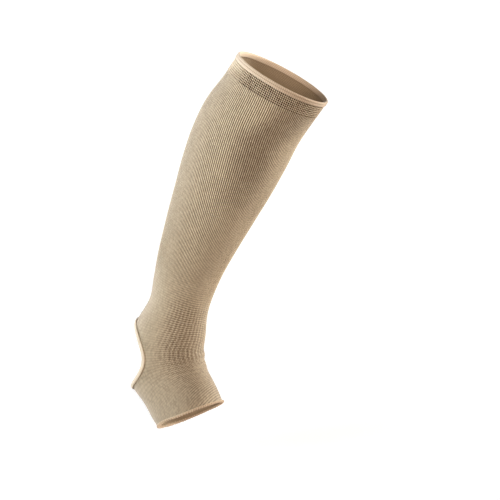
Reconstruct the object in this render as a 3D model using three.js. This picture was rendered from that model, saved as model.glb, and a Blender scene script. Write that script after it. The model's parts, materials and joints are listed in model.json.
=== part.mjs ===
// Open-toe compression stocking with an open heel, below-knee length, for a right leg.
// It keeps the shape that a leg in mid-step gives it: the shin leans forward and the toes turn out.
// Millimetres, +Z up, +X the way the wearer walks, +Y towards the wearer's other leg.
// The origin is the centre of the ankle, inside the stocking.
import * as THREE from "three";
import { mergeVertices } from "three/addons/utils/BufferGeometryUtils.js";

// Driving dimensions

const SHIN_LEAN = 23; // degrees that the shin leans forward, over the foot
const KNIT_WALL = 1.2; // thickness of the elastic knit
const TAPE_WALL = 1.0; // thickness of the folded welt, binding and edging
const SEWN_GAP = 0.35; // clearance round a knit edge inside its folded tape
const KNIT_GAP = 0.2; // clearance between one length of the knit tube and the next
const FOLD = TAPE_WALL + SEWN_GAP; // how far a folded tape stands beyond its knit edge
const WELT_HEIGHT = 5; // smooth turned welt at the top
const MESH_HEIGHT = 16; // open-mesh band below the welt
const BINDING_WIDTH = 3.2; // tape over the edge of the heel opening
const EDGING_WIDTH = 2.4; // overlocked thread over the toe edge

const COLUMNS = 40; // facets round the leg
const CALF_ROWS = 7; // facets down the calf knit
const SHANK_ROWS = 7; // facets down the shank knit
const ANKLE_ROWS = 4; // facets down the ankle, from the top of the foot knit to the heel opening
const HEEL_ROWS = 22; // facets down each side of the heel opening
const FOOT_ROWS = 6; // facets along the foot, from the heel opening to the toe edge
const MESH_ROWS = 2; // facets down the mesh band
const HEEL_CROWDING = 1.5; // over 1 where the rows close up towards the heel opening

// The worn shape, one row for each section from the top edge to the toe edge.
// x, z: centre, with the shin along z and the foot towards x
// bend: degrees that the section has tipped from across the shin to across the foot
// turn: degrees that it has turned out about the shin
// front, back, outer, inner: reach from the centre to the shin or instep, to the calf or sole,
//   and to the outer and inner sides of the leg
// fullness: 2 for an elliptical back half, more for a flatter sole
const SECTION_COLUMNS = ["x", "z", "bend", "turn", "front", "back", "outer", "inner", "fullness"];
const SECTION_TABLE = {
  top_edge: [-4, 347.5, -5.5, 0, 57, 59, 55, 55, 2],
  below_knee: [-9, 318, -4.5, 0, 56.5, 60, 56.5, 56.5, 2],
  high_calf: [-15, 286, -2.5, 0, 57, 61.8, 57, 57, 2],
  full_calf: [-19, 252, 0, 0, 59, 60, 57, 57, 2],
  mid_calf: [-21, 214, 0, 0, 57, 55, 54, 54, 2],
  low_calf: [-21, 175, 0, 0, 52, 49.5, 48, 48, 2],
  shank: [-20.5, 137, 0, 0, 46, 44.5, 42, 42, 2],
  low_shank: [-19.5, 102, 0, 0, 41.5, 40, 37, 37, 2],
  thin_ankle: [-15.5, 71, 2, 0, 37.5, 36.5, 33, 33, 2],
  above_ankle: [-11, 44.5, 6, 3, 36.5, 35.5, 33, 33, 2],
  ankle: [-9, 18, 14, 8, 42, 42.5, 35.5, 35.5, 2],
  heel_back: [-4, -10, 25.5, 15, 46.5, 50, 36.5, 36.5, 2],
  heel_base: [9, -34, 36, 19, 50.2, 47.5, 36, 35.5, 2.1],
  instep: [32, -47, 44.5, 21, 45, 41.8, 39.5, 37.5, 2.3],
  mid_foot: [49, -55, 49, 22, 41, 41.2, 43, 39, 2.5],
  toe_edge: [62, -59.5, 51, 22, 35, 41, 45.5, 41.5, 2.7],
};
const SECTIONS = Object.values(SECTION_TABLE);
const TOE_EDGE = SECTIONS.length - 1;

// The knit tube is built in three lengths. The rows of SECTION_TABLE where the lower two start:
const SHANK_TOP = 5;
const FOOT_TOP = 9.3;

// The heel opening, an oval on the back of the tube that is fuller towards the sole.
// top, low: rows of SECTION_TABLE where it starts and ends
// half: degrees that it reaches to each side of the back
// fuller: 1 for its widest place half way down, more for lower
const HEEL = { top: 9.97, low: 12.28, half: 73, fuller: 1.2 };

// The worn surface

const radians = THREE.MathUtils.degToRad;

// One column of the table at a row that may lie between two sections, on a Catmull-Rom curve.
function sectionValue(name, row) {
  const column = SECTION_COLUMNS.indexOf(name);
  const first = THREE.MathUtils.clamp(Math.floor(row), 0, TOE_EDGE - 1);
  const t = row - first;
  const b = SECTIONS[first][column];
  const c = SECTIONS[first + 1][column];
  const a = first > 0 ? SECTIONS[first - 1][column] : 2 * b - c;
  const d = first + 1 < TOE_EDGE ? SECTIONS[first + 2][column] : 2 * c - b;
  const slope = (c - a) / 2;
  const square = a - 2.5 * b + 2 * c - d / 2;
  const cube = 1.5 * (b - c) + (d - a) / 2;
  return b + t * (slope + t * (square + t * cube));
}

// A point on the outside of the knit. The angle is 0 at the shin and a quarter turn at the outer side.
function pointAt(row, angle) {
  const value = (name) => sectionValue(name, row);
  const cos = Math.cos(angle);
  const sin = Math.sin(angle);
  const power = 2 / (cos < 0 ? value("fullness") : 2);
  const forward = Math.sign(cos) * Math.abs(cos) ** power * value(cos < 0 ? "back" : "front");
  const outward = Math.sign(sin) * Math.abs(sin) ** power * value(sin < 0 ? "inner" : "outer");
  const bend = radians(value("bend"));
  const turn = radians(value("turn"));
  const x = value("x") + forward * Math.cos(bend);
  const z = value("z") + forward * Math.sin(bend);
  return new THREE.Vector3(
    x * Math.cos(turn) - outward * Math.sin(turn),
    -x * Math.sin(turn) - outward * Math.cos(turn),
    z,
  );
}

const ROW_STEP = 0.01;
const ANGLE_STEP = 0.01;

// How far the surface goes for each row down the tube, towards the toes.
function downAt(row, angle) {
  const step = pointAt(row + ROW_STEP, angle).sub(pointAt(row - ROW_STEP, angle));
  return step.divideScalar(2 * ROW_STEP);
}

// How far the surface goes for each radian round the tube.
function acrossAt(row, angle) {
  const step = pointAt(row, angle + ANGLE_STEP).sub(pointAt(row, angle - ANGLE_STEP));
  return step.divideScalar(2 * ANGLE_STEP);
}

// The direction straight out of the knit.
function normalAt(row, angle) {
  return acrossAt(row, angle).cross(downAt(row, angle)).normalize();
}

// The row that lies a short distance down the outer side of the leg from another row.
function rowAlong(row, distance) {
  return row + distance / downAt(row, Math.PI / 2).length();
}

// The row of the heel opening's edge, and half the angle that the opening takes there.
// The share goes from 0 at its top to 1 at its lower end, where its two sides meet.
function heelEdge(share) {
  const turn = share * Math.PI;
  const down = ((1 - Math.cos(turn)) / 2) ** (1 / HEEL.fuller);
  const met = share === 0 || share === 1;
  return {
    row: HEEL.top + down * (HEEL.low - HEEL.top),
    half: met ? 0 : radians(HEEL.half) * Math.sin(turn),
  };
}

// Solids from grids

// A closed cloth body from its vertices and its four-cornered faces. Each face is split along its
// shorter diagonal.
function solid(name, color, vertices, quads) {
  const triangles = quads.flatMap(([a, b, c, d]) => {
    const shorter = vertices[a].distanceTo(vertices[c]) <= vertices[b].distanceTo(vertices[d]);
    return shorter ? [a, b, c, a, c, d] : [a, b, d, b, c, d];
  });
  const geometry = new THREE.BufferGeometry().setFromPoints(vertices);
  geometry.setIndex(triangles);
  const cloth = new THREE.MeshStandardMaterial({ color, roughness: 0.95, metalness: 0 });
  const mesh = new THREE.Mesh(mergeVertices(geometry, 1e-3), cloth);
  mesh.geometry.computeVertexNormals();
  mesh.name = name;
  return mesh;
}

// A knit wall over a list of rows, each with half the angle that the heel opening takes out of it.
// The columns crowd together beside the opening, and run straight down the front of the leg.
function knitWall(name, color, rows) {
  const vertices = [];
  for (const { row, half } of rows) {
    for (let column = 0; column <= COLUMNS; column++) {
      const share = 1 - (2 * column) / COLUMNS;
      const angle = share * Math.PI - share * Math.abs(share) * half;
      const outside = pointAt(row, angle);
      vertices.push(outside, outside.clone().addScaledVector(normalAt(row, angle), -KNIT_WALL));
    }
  }
  const outer = (row, column) => 2 * (row * (COLUMNS + 1) + column);
  const inner = (row, column) => outer(row, column) + 1;
  const last = rows.length - 1;
  const end = COLUMNS;
  const quads = [];
  for (let row = 0; row < last; row++) {
    const down = row + 1;
    for (let column = 0; column < end; column++) {
      const next = column + 1;
      quads.push([outer(row, column), outer(down, column), outer(down, next), outer(row, next)]);
      quads.push([inner(row, column), inner(row, next), inner(down, next), inner(down, column)]);
    }
    if (rows[row].half > 0 || rows[down].half > 0) {
      quads.push([outer(row, 0), inner(row, 0), inner(down, 0), outer(down, 0)]);
      quads.push([outer(row, end), outer(down, end), inner(down, end), inner(row, end)]);
    }
  }
  for (let column = 0; column < end; column++) {
    const next = column + 1;
    quads.push([outer(0, column), outer(0, next), inner(0, next), inner(0, column)]);
    quads.push([outer(last, column), inner(last, column), inner(last, next), outer(last, next)]);
  }
  return solid(name, color, vertices, quads);
}

// A tape folded over a closed knit edge. Each place on the edge has its row and angle, and the rows
// and radians that one millimetre from the edge into the knit takes.
function foldedTape(name, color, edge, width) {
  const lip = KNIT_WALL / 2 + SEWN_GAP;
  const face = lip + TAPE_WALL;
  const rounding = Math.SQRT1_2;
  const profile = [
    { into: width, out: face },
    { into: width, out: lip },
    { into: -SEWN_GAP, out: lip },
    { into: -SEWN_GAP, out: -lip },
    { into: width, out: -lip },
    { into: width, out: -face },
    { into: 0, out: -face },
    { into: -FOLD * rounding, out: -face * rounding },
    { into: -FOLD, out: 0 },
    { into: -FOLD * rounding, out: face * rounding },
    { into: 0, out: face },
  ];
  const vertices = [];
  for (const { row, angle, intoRow, intoAngle } of edge) {
    for (const { into, out } of profile) {
      const place = [row + into * intoRow, angle + into * intoAngle];
      vertices.push(pointAt(...place).addScaledVector(normalAt(...place), out - KNIT_WALL / 2));
    }
  }
  const quads = [];
  const vertex = (place, side) => (place % edge.length) * profile.length + (side % profile.length);
  for (let place = 0; place < edge.length; place++) {
    for (let side = 0; side < profile.length; side++) {
      const next = place + 1;
      const up = side + 1;
      quads.push([vertex(place, side), vertex(place, up), vertex(next, up), vertex(next, side)]);
    }
  }
  return solid(name, color, vertices, quads);
}

// The places round a ring edge of the tube, with the knit below the edge or above it.
function ringEdge(row, knitBelow) {
  const edge = [];
  for (let column = 0; column < COLUMNS; column++) {
    const angle = (1 - (2 * column) / COLUMNS) * Math.PI;
    const rowLength = downAt(row, angle).length();
    edge.push({ row, angle, intoRow: (knitBelow ? 1 : -1) / rowLength, intoAngle: 0 });
  }
  return knitBelow ? edge : edge.reverse();
}

// The places round the heel opening, down its inner side and back up its outer side.
function heelOpeningEdge() {
  const edge = [];
  for (let step = 0; step < 2 * HEEL_ROWS; step++) {
    const innerSide = step <= HEEL_ROWS;
    const { row, half } = heelEdge(innerSide ? step / HEEL_ROWS : 2 - step / HEEL_ROWS);
    edge.push({ row, angle: innerSide ? half - Math.PI : Math.PI - half });
  }
  edge.forEach((place, step) => {
    const { row, angle } = place;
    const before = edge[(step + edge.length - 1) % edge.length];
    const after = edge[(step + 1) % edge.length];
    const along = pointAt(after.row, after.angle).sub(pointAt(before.row, before.angle));
    const into = along.cross(normalAt(row, angle)).normalize();
    const down = downAt(row, angle);
    const across = acrossAt(row, angle);
    const skew = down.dot(across);
    const area = down.lengthSq() * across.lengthSq() - skew ** 2;
    place.intoRow = (into.dot(down) * across.lengthSq() - into.dot(across) * skew) / area;
    place.intoAngle = (into.dot(across) * down.lengthSq() - into.dot(down) * skew) / area;
  });
  return edge;
}

// The stocking

const meshTop = rowAlong(0, FOLD);
const meshLow = rowAlong(0, FOLD + WELT_HEIGHT + MESH_HEIGHT);
const sleeveTop = rowAlong(meshLow, SEWN_GAP);
const sleeveToe = rowAlong(TOE_EDGE, -FOLD);

// Whole rows from one row to another, without the first. They close up towards the first one where
// crowding is over 1.
function wholeRows(from, to, count, crowding = 1) {
  const shares = Array.from({ length: count }, (_, i) => ((i + 1) / count) ** crowding);
  return shares.map((share) => ({ row: from + share * (to - from), half: 0 }));
}

const heelRows = Array.from({ length: HEEL_ROWS + 1 }, (_, i) => heelEdge(i / HEEL_ROWS));
const shankTop = rowAlong(SHANK_TOP, KNIT_GAP);
const footTop = rowAlong(FOOT_TOP, KNIT_GAP);
const meshRows = [{ row: meshTop, half: 0 }, ...wholeRows(meshTop, meshLow, MESH_ROWS)];
const calfRows = [{ row: sleeveTop, half: 0 }, ...wholeRows(sleeveTop, SHANK_TOP, CALF_ROWS)];
const shankRows = [{ row: shankTop, half: 0 }, ...wholeRows(shankTop, FOOT_TOP, SHANK_ROWS)];
const footRows = [
  ...wholeRows(HEEL.top, footTop, ANKLE_ROWS, HEEL_CROWDING).reverse(),
  ...heelRows,
  ...wholeRows(HEEL.low, sleeveToe, FOOT_ROWS, HEEL_CROWDING),
];

const stocking = new THREE.Group();
stocking.name = "compression_stocking";
stocking.add(
  foldedTape("top_welt", 0xd8c7a8, ringEdge(meshTop, true), WELT_HEIGHT),
  knitWall("mesh_band", 0xb9a37f, meshRows),
  knitWall("calf_knit", 0xbfab88, calfRows),
  knitWall("shank_knit", 0xbfab88, shankRows),
  knitWall("foot_knit", 0xbfab88, footRows),
  foldedTape("heel_binding", 0xe6d6ba, heelOpeningEdge(), BINDING_WIDTH),
  foldedTape("toe_edging", 0xd9bf9c, ringEdge(sleeveToe, false), EDGING_WIDTH),
);
stocking.rotation.y = radians(SHIN_LEAN);

export default stocking;
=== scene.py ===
# %% [markdown]
# # An open-toe compression stocking
#
# The imported model is a plain faceted tube with its folded tapes. This lesson dresses it: each stitch
# of the knit, each hole of the mesh band and each loop of the toe edging is built as geometry, and
# the materials add what is finer than that, the yarn, its fuzz and its colour.
#
# The first step loads the imported model. It stays where it is and is hidden piece by piece.

import json
import math
from collections import namedtuple

import bpy
import numpy as np
from mathutils import Matrix, Vector
from mathutils.kdtree import KDTree

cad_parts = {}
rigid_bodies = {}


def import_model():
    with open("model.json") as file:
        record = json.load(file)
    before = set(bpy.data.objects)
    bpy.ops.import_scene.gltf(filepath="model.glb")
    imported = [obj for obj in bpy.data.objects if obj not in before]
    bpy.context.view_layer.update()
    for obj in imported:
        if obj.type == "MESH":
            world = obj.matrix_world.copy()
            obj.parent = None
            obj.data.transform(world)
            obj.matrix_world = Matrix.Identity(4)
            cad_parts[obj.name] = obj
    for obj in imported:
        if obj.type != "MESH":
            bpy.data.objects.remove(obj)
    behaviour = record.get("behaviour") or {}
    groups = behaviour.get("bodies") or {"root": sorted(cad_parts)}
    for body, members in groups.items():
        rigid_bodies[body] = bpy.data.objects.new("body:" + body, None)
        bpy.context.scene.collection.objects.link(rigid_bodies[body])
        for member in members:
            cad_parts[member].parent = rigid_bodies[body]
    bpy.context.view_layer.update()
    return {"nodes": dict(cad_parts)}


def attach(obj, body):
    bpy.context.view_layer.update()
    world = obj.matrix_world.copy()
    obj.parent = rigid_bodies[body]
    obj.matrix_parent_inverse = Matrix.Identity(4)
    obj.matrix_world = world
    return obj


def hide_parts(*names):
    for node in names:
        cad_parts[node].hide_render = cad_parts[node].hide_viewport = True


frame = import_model()
print("nodes:", sorted(frame["nodes"]))

# %% [markdown]
# ## The camera
#
# A garment is best dressed in the view that it will be judged in, so the camera comes first. A product
# picture is taken from a few metres away with a long lens, which keeps the taper of the tube true. The
# camera stands a little above the ankle and a little towards the toes, and it is turned without being
# aimed at a target, so that its picture plane stays level.

# %% Set up the camera
MM = 0.001
FRAME_PIXELS = 500
SENSOR = 36  # mm
PIXEL_AT_ANKLE = 1.18 * MM
VIEW_DISTANCE = 3.0
VIEW_AZIMUTH = math.radians(6)
VIEW_ELEVATION = math.radians(13)
CENTRE_FROM_ANKLE = (78, 95)  # pixels from the ankle to the middle of the picture, right and up

level = math.cos(VIEW_ELEVATION)
back = Vector((math.sin(VIEW_AZIMUTH) * level, -math.cos(VIEW_AZIMUTH) * level, math.sin(VIEW_ELEVATION)))
right = Vector((math.cos(VIEW_AZIMUTH), math.sin(VIEW_AZIMUTH), 0))
up = back.cross(right)

scene_objects = bpy.context.scene.collection.objects
camera = bpy.data.objects.new("camera", bpy.data.cameras.new("camera"))
scene_objects.link(camera)
camera.data.sensor_width = SENSOR
camera.data.lens = SENSOR * VIEW_DISTANCE / PIXEL_AT_ANKLE / FRAME_PIXELS
place = back * VIEW_DISTANCE
place += right * CENTRE_FROM_ANKLE[0] * PIXEL_AT_ANKLE
place += up * CENTRE_FROM_ANKLE[1] * PIXEL_AT_ANKLE
turned = Matrix((right, up, back)).transposed().to_4x4()
camera.matrix_world = Matrix.Translation(place) @ turned
bpy.context.scene.camera = camera
print("camera at", [round(x, 3) for x in place], "with a lens of", round(camera.data.lens, 1), "mm")

# %% [markdown]
# ## The worn surface
#
# A stocking has no shape of its own: wearing gives it one. The model describes that form by sections
# down the tube, with a smooth curve through each column of the table. The same table is used here, so
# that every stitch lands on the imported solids. The alternative, reading the faceted solids back and
# smoothing them, would lose the exact edges of the heel opening.

# %% The sections of the tube
SHIN_LEAN = math.radians(23)
SECTION_TABLE = {
    # x, z, bend, turn, front, back, outer, inner, fullness
    "top_edge": (-4, 347.5, -5.5, 0, 57, 59, 55, 55, 2),
    "below_knee": (-9, 318, -4.5, 0, 56.5, 60, 56.5, 56.5, 2),
    "high_calf": (-15, 286, -2.5, 0, 57, 61.8, 57, 57, 2),
    "full_calf": (-19, 252, 0, 0, 59, 60, 57, 57, 2),
    "mid_calf": (-21, 214, 0, 0, 57, 55, 54, 54, 2),
    "low_calf": (-21, 175, 0, 0, 52, 49.5, 48, 48, 2),
    "shank": (-20.5, 137, 0, 0, 46, 44.5, 42, 42, 2),
    "low_shank": (-19.5, 102, 0, 0, 41.5, 40, 37, 37, 2),
    "thin_ankle": (-15.5, 71, 2, 0, 37.5, 36.5, 33, 33, 2),
    "above_ankle": (-11, 44.5, 6, 3, 36.5, 35.5, 33, 33, 2),
    "ankle": (-9, 18, 14, 8, 42, 42.5, 35.5, 35.5, 2),
    "heel_back": (-4, -10, 25.5, 15, 46.5, 50, 36.5, 36.5, 2),
    "heel_base": (9, -34, 36, 19, 50.2, 47.5, 36, 35.5, 2.1),
    "instep": (32, -47, 44.5, 21, 45, 41.8, 39.5, 37.5, 2.3),
    "mid_foot": (49, -55, 49, 22, 41, 41.2, 43, 39, 2.5),
    "toe_edge": (62, -59.5, 51, 22, 35, 41, 45.5, 41.5, 2.7),
}
SECTIONS = np.array(list(SECTION_TABLE.values()), float)
TOE_EDGE = len(SECTIONS) - 1
KNOTS = np.vstack([2 * SECTIONS[0] - SECTIONS[1], SECTIONS, 2 * SECTIONS[-1] - SECTIONS[-2]])


def section_values(rows):
    """The columns of the table at any rows, which may lie between two sections."""
    first = np.clip(np.floor(rows).astype(int), 0, TOE_EDGE - 1)
    t = (rows - first)[..., None]
    a, b, c, d = (KNOTS[first + step] for step in range(4))
    square = a - 2.5 * b + 2 * c - d / 2
    cube = 1.5 * (b - c) + (d - a) / 2
    return np.moveaxis(b + t * ((c - a) / 2 + t * (square + t * cube)), -1, 0)


print("sections:", len(SECTIONS), "from", list(SECTION_TABLE)[0], "to", list(SECTION_TABLE)[-1])


# %% Points and directions on the surface
def worn_point(rows, angles):
    """Points on the outside of the knit. The angle is 0 at the shin, a quarter turn at the outer side."""
    x, z, bend, turn, front, rear, outer, inner, fullness = section_values(rows)
    cos, sin = np.cos(angles), np.sin(angles)
    power = 2 / np.where(cos < 0, fullness, 2)
    forward = np.sign(cos) * np.abs(cos) ** power * np.where(cos < 0, rear, front)
    outward = np.sign(sin) * np.abs(sin) ** power * np.where(sin < 0, inner, outer)
    bend, turn = np.radians(bend), np.radians(turn)
    x = x + forward * np.cos(bend)
    z = z + forward * np.sin(bend)
    ahead = x * np.cos(turn) - outward * np.sin(turn)
    aside = -x * np.sin(turn) - outward * np.cos(turn)
    leaning = ahead * math.cos(SHIN_LEAN) + z * math.sin(SHIN_LEAN)
    height = z * math.cos(SHIN_LEAN) - ahead * math.sin(SHIN_LEAN)
    return np.stack([leaning, aside, height], -1) * MM


def worn_slopes(rows, angles, step=0.01):
    """How far the surface goes for each row down the tube, and for each radian round it."""
    down = worn_point(rows + step, angles) - worn_point(rows - step, angles)
    across = worn_point(rows, angles + step) - worn_point(rows, angles - step)
    return down / (2 * step), across / (2 * step)


def unit(vectors):
    """The same directions with a length of 1."""
    return vectors / np.linalg.norm(vectors, axis=-1, keepdims=True)


def worn_normal(rows, angles):
    """The way out of the tube."""
    down, across = worn_slopes(rows, angles)
    return unit(np.cross(across, down))


shin_top = worn_point(np.array(0.0), np.array(0.0))
print("top of the shin at", [round(float(x), 3) for x in shin_top])

# %% [markdown]
# ## Wales and courses
#
# A knit is counted in wales, the columns of stitches that run down the tube, and courses, the rows that
# run round it. A circular machine keeps the number of needles fixed, so each wale runs the whole length
# of the tube and simply closes up where the tube is thin. The tube is therefore measured out twice: by
# the distance down its outer side, and by an even share of wales round each half of it. Any place on
# the stocking is then given by two plain numbers, a distance and a wale.

# %% Measure the tube out
WALES = 147
COLUMNS_PER_WALE = 4
COLUMNS = WALES * COLUMNS_PER_WALE
SIDE_SAMPLES = 3001
SWEEP_SAMPLES = 361
TABLE_ROWS = 420


def path_length(points):
    """The length along a line of points, from its start to each point."""
    steps = np.linalg.norm(np.diff(points, axis=0), axis=1)
    return np.concatenate([[0], np.cumsum(steps)])


side_rows = np.linspace(0, TOE_EDGE, SIDE_SAMPLES)
side_length = path_length(worn_point(side_rows, np.full(SIDE_SAMPLES, math.pi / 2)))


def row_at(distance):
    """The row of the section table at a distance down the outer side."""
    return np.interp(distance, side_length, side_rows)


def wale_angles(row):
    """The angles of the columns round one row, from the back over the inner side to the front and on."""
    sweep = np.linspace(0, math.pi, SWEEP_SAMPLES)
    share = np.linspace(0, 1, COLUMNS // 2 + 1)
    halves = []
    for side in (-1, 1):
        length = path_length(worn_point(np.full(SWEEP_SAMPLES, row), side * sweep))
        halves.append(side * np.interp(share * length[-1], length, sweep))
    return np.concatenate([halves[0][::-1], halves[1][1:]])


table_distance = np.linspace(0, side_length[-1], TABLE_ROWS)
angle_table = np.array([wale_angles(row) for row in row_at(table_distance)])
print("outer side:", round(side_length[-1] / MM, 1), "mm,", WALES, "wales")

# %% [markdown]
# A stocking is never pulled on quite straight. Its wales turn slowly towards the shin on the way down,
# and the cloth at the toe edge is drawn back a little over the side of the foot. Both are small changes
# to the two numbers of a place, so they are made here, once, for every piece that is laid on the tube.

# %% Any place on the tube
TWIST_TURN = 28  # wales
TWIST_LENGTH = 331 * MM
TWIST_AT_CALF = 10.7
ARCH = 2.4 * MM
ARCH_LENGTH = 50 * MM
ARCH_PLACE = 0.87  # share of the way round, from the back over the inner side
ARCH_WIDTH = 0.065


def twist(distance):
    """How many wales the stocking has turned towards the shin."""
    return TWIST_TURN * (1 - np.exp(-distance / TWIST_LENGTH)) - TWIST_AT_CALF


def arch(distance, wale):
    """How far the cloth near the toe edge is drawn back."""
    from_toe = (side_length[-1] - distance) / ARCH_LENGTH
    near = np.clip(1 - from_toe, 0, 1) ** 2
    return ARCH * near * np.exp(-((((wale / WALES) % 1 - ARCH_PLACE) / ARCH_WIDTH) ** 2))


def tube_place(distance, wale):
    """The row and angle of places given by their distance down the tube and their wale."""
    distance, wale = np.broadcast_arrays(np.asarray(distance, float), np.asarray(wale, float))
    distance = distance - arch(distance, wale)
    down = np.clip(distance / table_distance[1], 0, len(table_distance) - 1.001)
    across = ((wale - twist(distance)) % WALES) * COLUMNS_PER_WALE
    i, j = down.astype(int), across.astype(int)
    s, t = down - i, across - j
    upper = (1 - t) * angle_table[i, j] + t * angle_table[i, j + 1]
    lower = (1 - t) * angle_table[i + 1, j] + t * angle_table[i + 1, j + 1]
    return row_at(distance), (1 - s) * upper + s * lower


def on_tube(distance, wale, out):
    """Points a little outside or inside the worn surface, in metres."""
    rows, angles = tube_place(distance, wale)
    return worn_point(rows, angles) + worn_normal(rows, angles) * np.asarray(out)[..., None]


print("the wales turn by", round(float(twist(side_length[-1]) - twist(0)), 1), "on the way down")

# %% [markdown]
# ## From numbers to a mesh
#
# Hundreds of thousands of stitch faces are too many for one bmesh call each, so the pieces are worked
# out as whole arrays and handed to Blender at once. Every face also gets two map places: `stitches`,
# which counts wales and courses for the materials, and `OFBake`, which lays the faces out side by side
# for anyone who bakes the finish into a picture later. In `OFBake` each kind of face has a strip of its
# own, given by the two heights that it lies between.

# %% A collector for the faces of a piece
MAPS = ("stitches", "OFBake")


class Cloth:
    """The corners and faces of one piece, before Blender sees them."""

    def __init__(self):
        self.points = []
        self.groups = []
        self.count = 0

    def add_points(self, points):
        """Adds an array of points and returns their numbers, in the array's own layout."""
        numbers = self.count + np.arange(points[..., 0].size).reshape(points.shape[:-1])
        self.points.append(points.reshape(-1, 3))
        self.count += numbers.size
        return numbers

    def add_faces(self, corners, places, strip=(0, 1), finish=0):
        """Adds faces with the same number of corners. The strip is their share of the bake map."""
        size = corners.shape[-1]
        places = np.broadcast_to(places, (*corners.shape, 2)).reshape(-1, size, 2)
        self.groups.append((corners.reshape(-1, size), places, strip, finish))

    def volume(self):
        """Six times the volume inside the faces, negative if they are inside out."""
        points = np.concatenate(self.points)
        total = 0
        for corners, *_ in self.groups:
            first = points[corners[:, 0]]
            for k in range(1, corners.shape[1] - 1):
                cross = np.cross(points[corners[:, k]], points[corners[:, k + 1]])
                total += float((first * cross).sum())
        return total


print("maps of each piece:", ", ".join(MAPS))

# %% Hand the faces to Blender
CRISP_EDGE = 65  # degrees


def make_mesh(name, points, corners, sizes, finishes):
    """A mesh from arrays. The corners of all faces follow each other, and the sizes divide them."""
    used, corners = np.unique(corners, return_inverse=True)
    mesh = bpy.data.meshes.new(name)
    mesh.vertices.add(len(used))
    mesh.loops.add(len(corners))
    mesh.polygons.add(len(sizes))
    mesh.vertices.foreach_set("co", points[used].astype(np.float32).ravel())
    mesh.loops.foreach_set("vertex_index", corners.astype(np.int32))
    starts = np.concatenate([[0], np.cumsum(sizes)[:-1]])
    mesh.polygons.foreach_set("loop_start", starts.astype(np.int32))
    mesh.polygons.foreach_set("material_index", finishes.astype(np.int32))
    mesh.update(calc_edges=True)
    mesh.validate()
    return mesh


def make_piece(cloth, name, *materials):
    """The Blender object of a piece, with its maps, its smooth shading and its materials."""
    way = 1 if cloth.volume() > 0 else -1
    corners = np.concatenate([g[0][:, ::way].ravel() for g in cloth.groups])
    places = np.concatenate([g[1][:, ::way].reshape(-1, 2) for g in cloth.groups])
    strips = np.concatenate([np.tile(g[2], (g[0].size, 1)) for g in cloth.groups])
    sizes = np.concatenate([np.full(len(g[0]), g[0].shape[1]) for g in cloth.groups])
    finishes = np.concatenate([np.full(len(g[0]), g[3]) for g in cloth.groups])
    mesh = make_mesh(name, np.concatenate(cloth.points), corners, sizes, finishes)

    baked = (places - places.min(0)) / np.maximum(np.ptp(places, axis=0), 1e-9)
    baked[:, 1] = strips[:, 0] + baked[:, 1] * (strips[:, 1] - strips[:, 0])
    for map_name, uv in zip(MAPS, (places, baked)):
        layer = mesh.uv_layers.new(name=map_name)
        layer.uv.foreach_set("vector", uv.astype(np.float32).ravel())
    mesh.polygons.foreach_set("use_smooth", np.ones(len(sizes), bool))
    mesh.set_sharp_from_angle(angle=math.radians(CRISP_EDGE))
    for material in materials:
        mesh.materials.append(material)
    piece = bpy.data.objects.new(name, mesh)
    scene_objects.link(piece)
    print(name, "has", int((sizes - 2).sum()), "triangles")
    return piece


print("edges over", CRISP_EDGE, "degrees stay crisp")

# %% [markdown]
# ## Shared effects
#
# Four things repeat over the stocking, so each is a shader node group that is built once. The stitch
# pattern says where the gaps between stitches are, painted dark as shade, and where painted shade lies
# over the calf and the foot. The yarn fuzz is a fine noise for the loose fibres, with a wide one for
# uneven dye. The twist draws the ply of a sewing thread, or the ribs of a tape, as painted shade in
# their grooves. The shin shade says how near a place is to the shin, where the welt and the mesh are
# painted a little darker as shade. How much was tuned on tones measured in a picture of a real
# stocking. Each group only puts out values that change over the surface, and the shader itself stays
# in the material.

# %% Tools for node trees
NUMBER = "NodeSocketFloat"
VECTOR = "NodeSocketVector"


def add_node(tree, kind, inputs=(), **settings):
    """Adds a node. Inputs are (name or number, value or socket) pairs."""
    node = tree.nodes.new(kind)
    for key, value in settings.items():
        setattr(node, key, value)
    for key, value in inputs:
        if isinstance(value, bpy.types.NodeSocket):
            tree.links.new(value, node.inputs[key])
        else:
            node.inputs[key].default_value = value
    return node


def math_node(tree, operation, *values, clamp=False):
    """The result of one sum on numbers or sockets."""
    node = add_node(tree, "ShaderNodeMath", enumerate(values), operation=operation, use_clamp=clamp)
    return node.outputs[0]


def new_group(name, inputs, outputs):
    """An empty node group. Its inputs are numbers with a first value, or vectors where that is None."""
    group = bpy.data.node_groups.new(name, "ShaderNodeTree")
    for socket, value in inputs.items():
        kind = VECTOR if value is None else NUMBER
        made = group.interface.new_socket(socket, in_out="INPUT", socket_type=kind)
        if value is not None:
            made.default_value = value
    for socket in outputs:
        group.interface.new_socket(socket, in_out="OUTPUT", socket_type=NUMBER)
    start = group.nodes.new("NodeGroupInput")
    end = group.nodes.new("NodeGroupOutput")
    return group, start.outputs, end.inputs


print("sockets:", NUMBER, "and", VECTOR)


# %% Tools for values that ease over the surface
def soft_range(tree, value, low, high, at_low, at_high):
    """A value that eases from one number to another between two limits."""
    limits = [("From Min", low), ("From Max", high), ("To Min", at_low), ("To Max", at_high)]
    inputs = [("Value", value), *limits]
    return add_node(tree, "ShaderNodeMapRange", inputs, interpolation_type="SMOOTHSTEP").outputs[0]


def soft_band(tree, value, limits):
    """Rises from 0 to 1 between the first two limits, and falls back between the last two."""
    rise = soft_range(tree, value, *limits[:2], 0, 1)
    fall = soft_range(tree, value, *limits[2:], 1, 0)
    return math_node(tree, "MULTIPLY", rise, fall)


def groove(tree, count):
    """Rises from 0 on the crest of a rib to 1 in the groove. The count grows by 1 for each rib."""
    wave = math_node(tree, "COSINE", math_node(tree, "MULTIPLY", count, 2 * math.pi))
    return soft_range(tree, wave, -1, 1, 0, 1)


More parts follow.
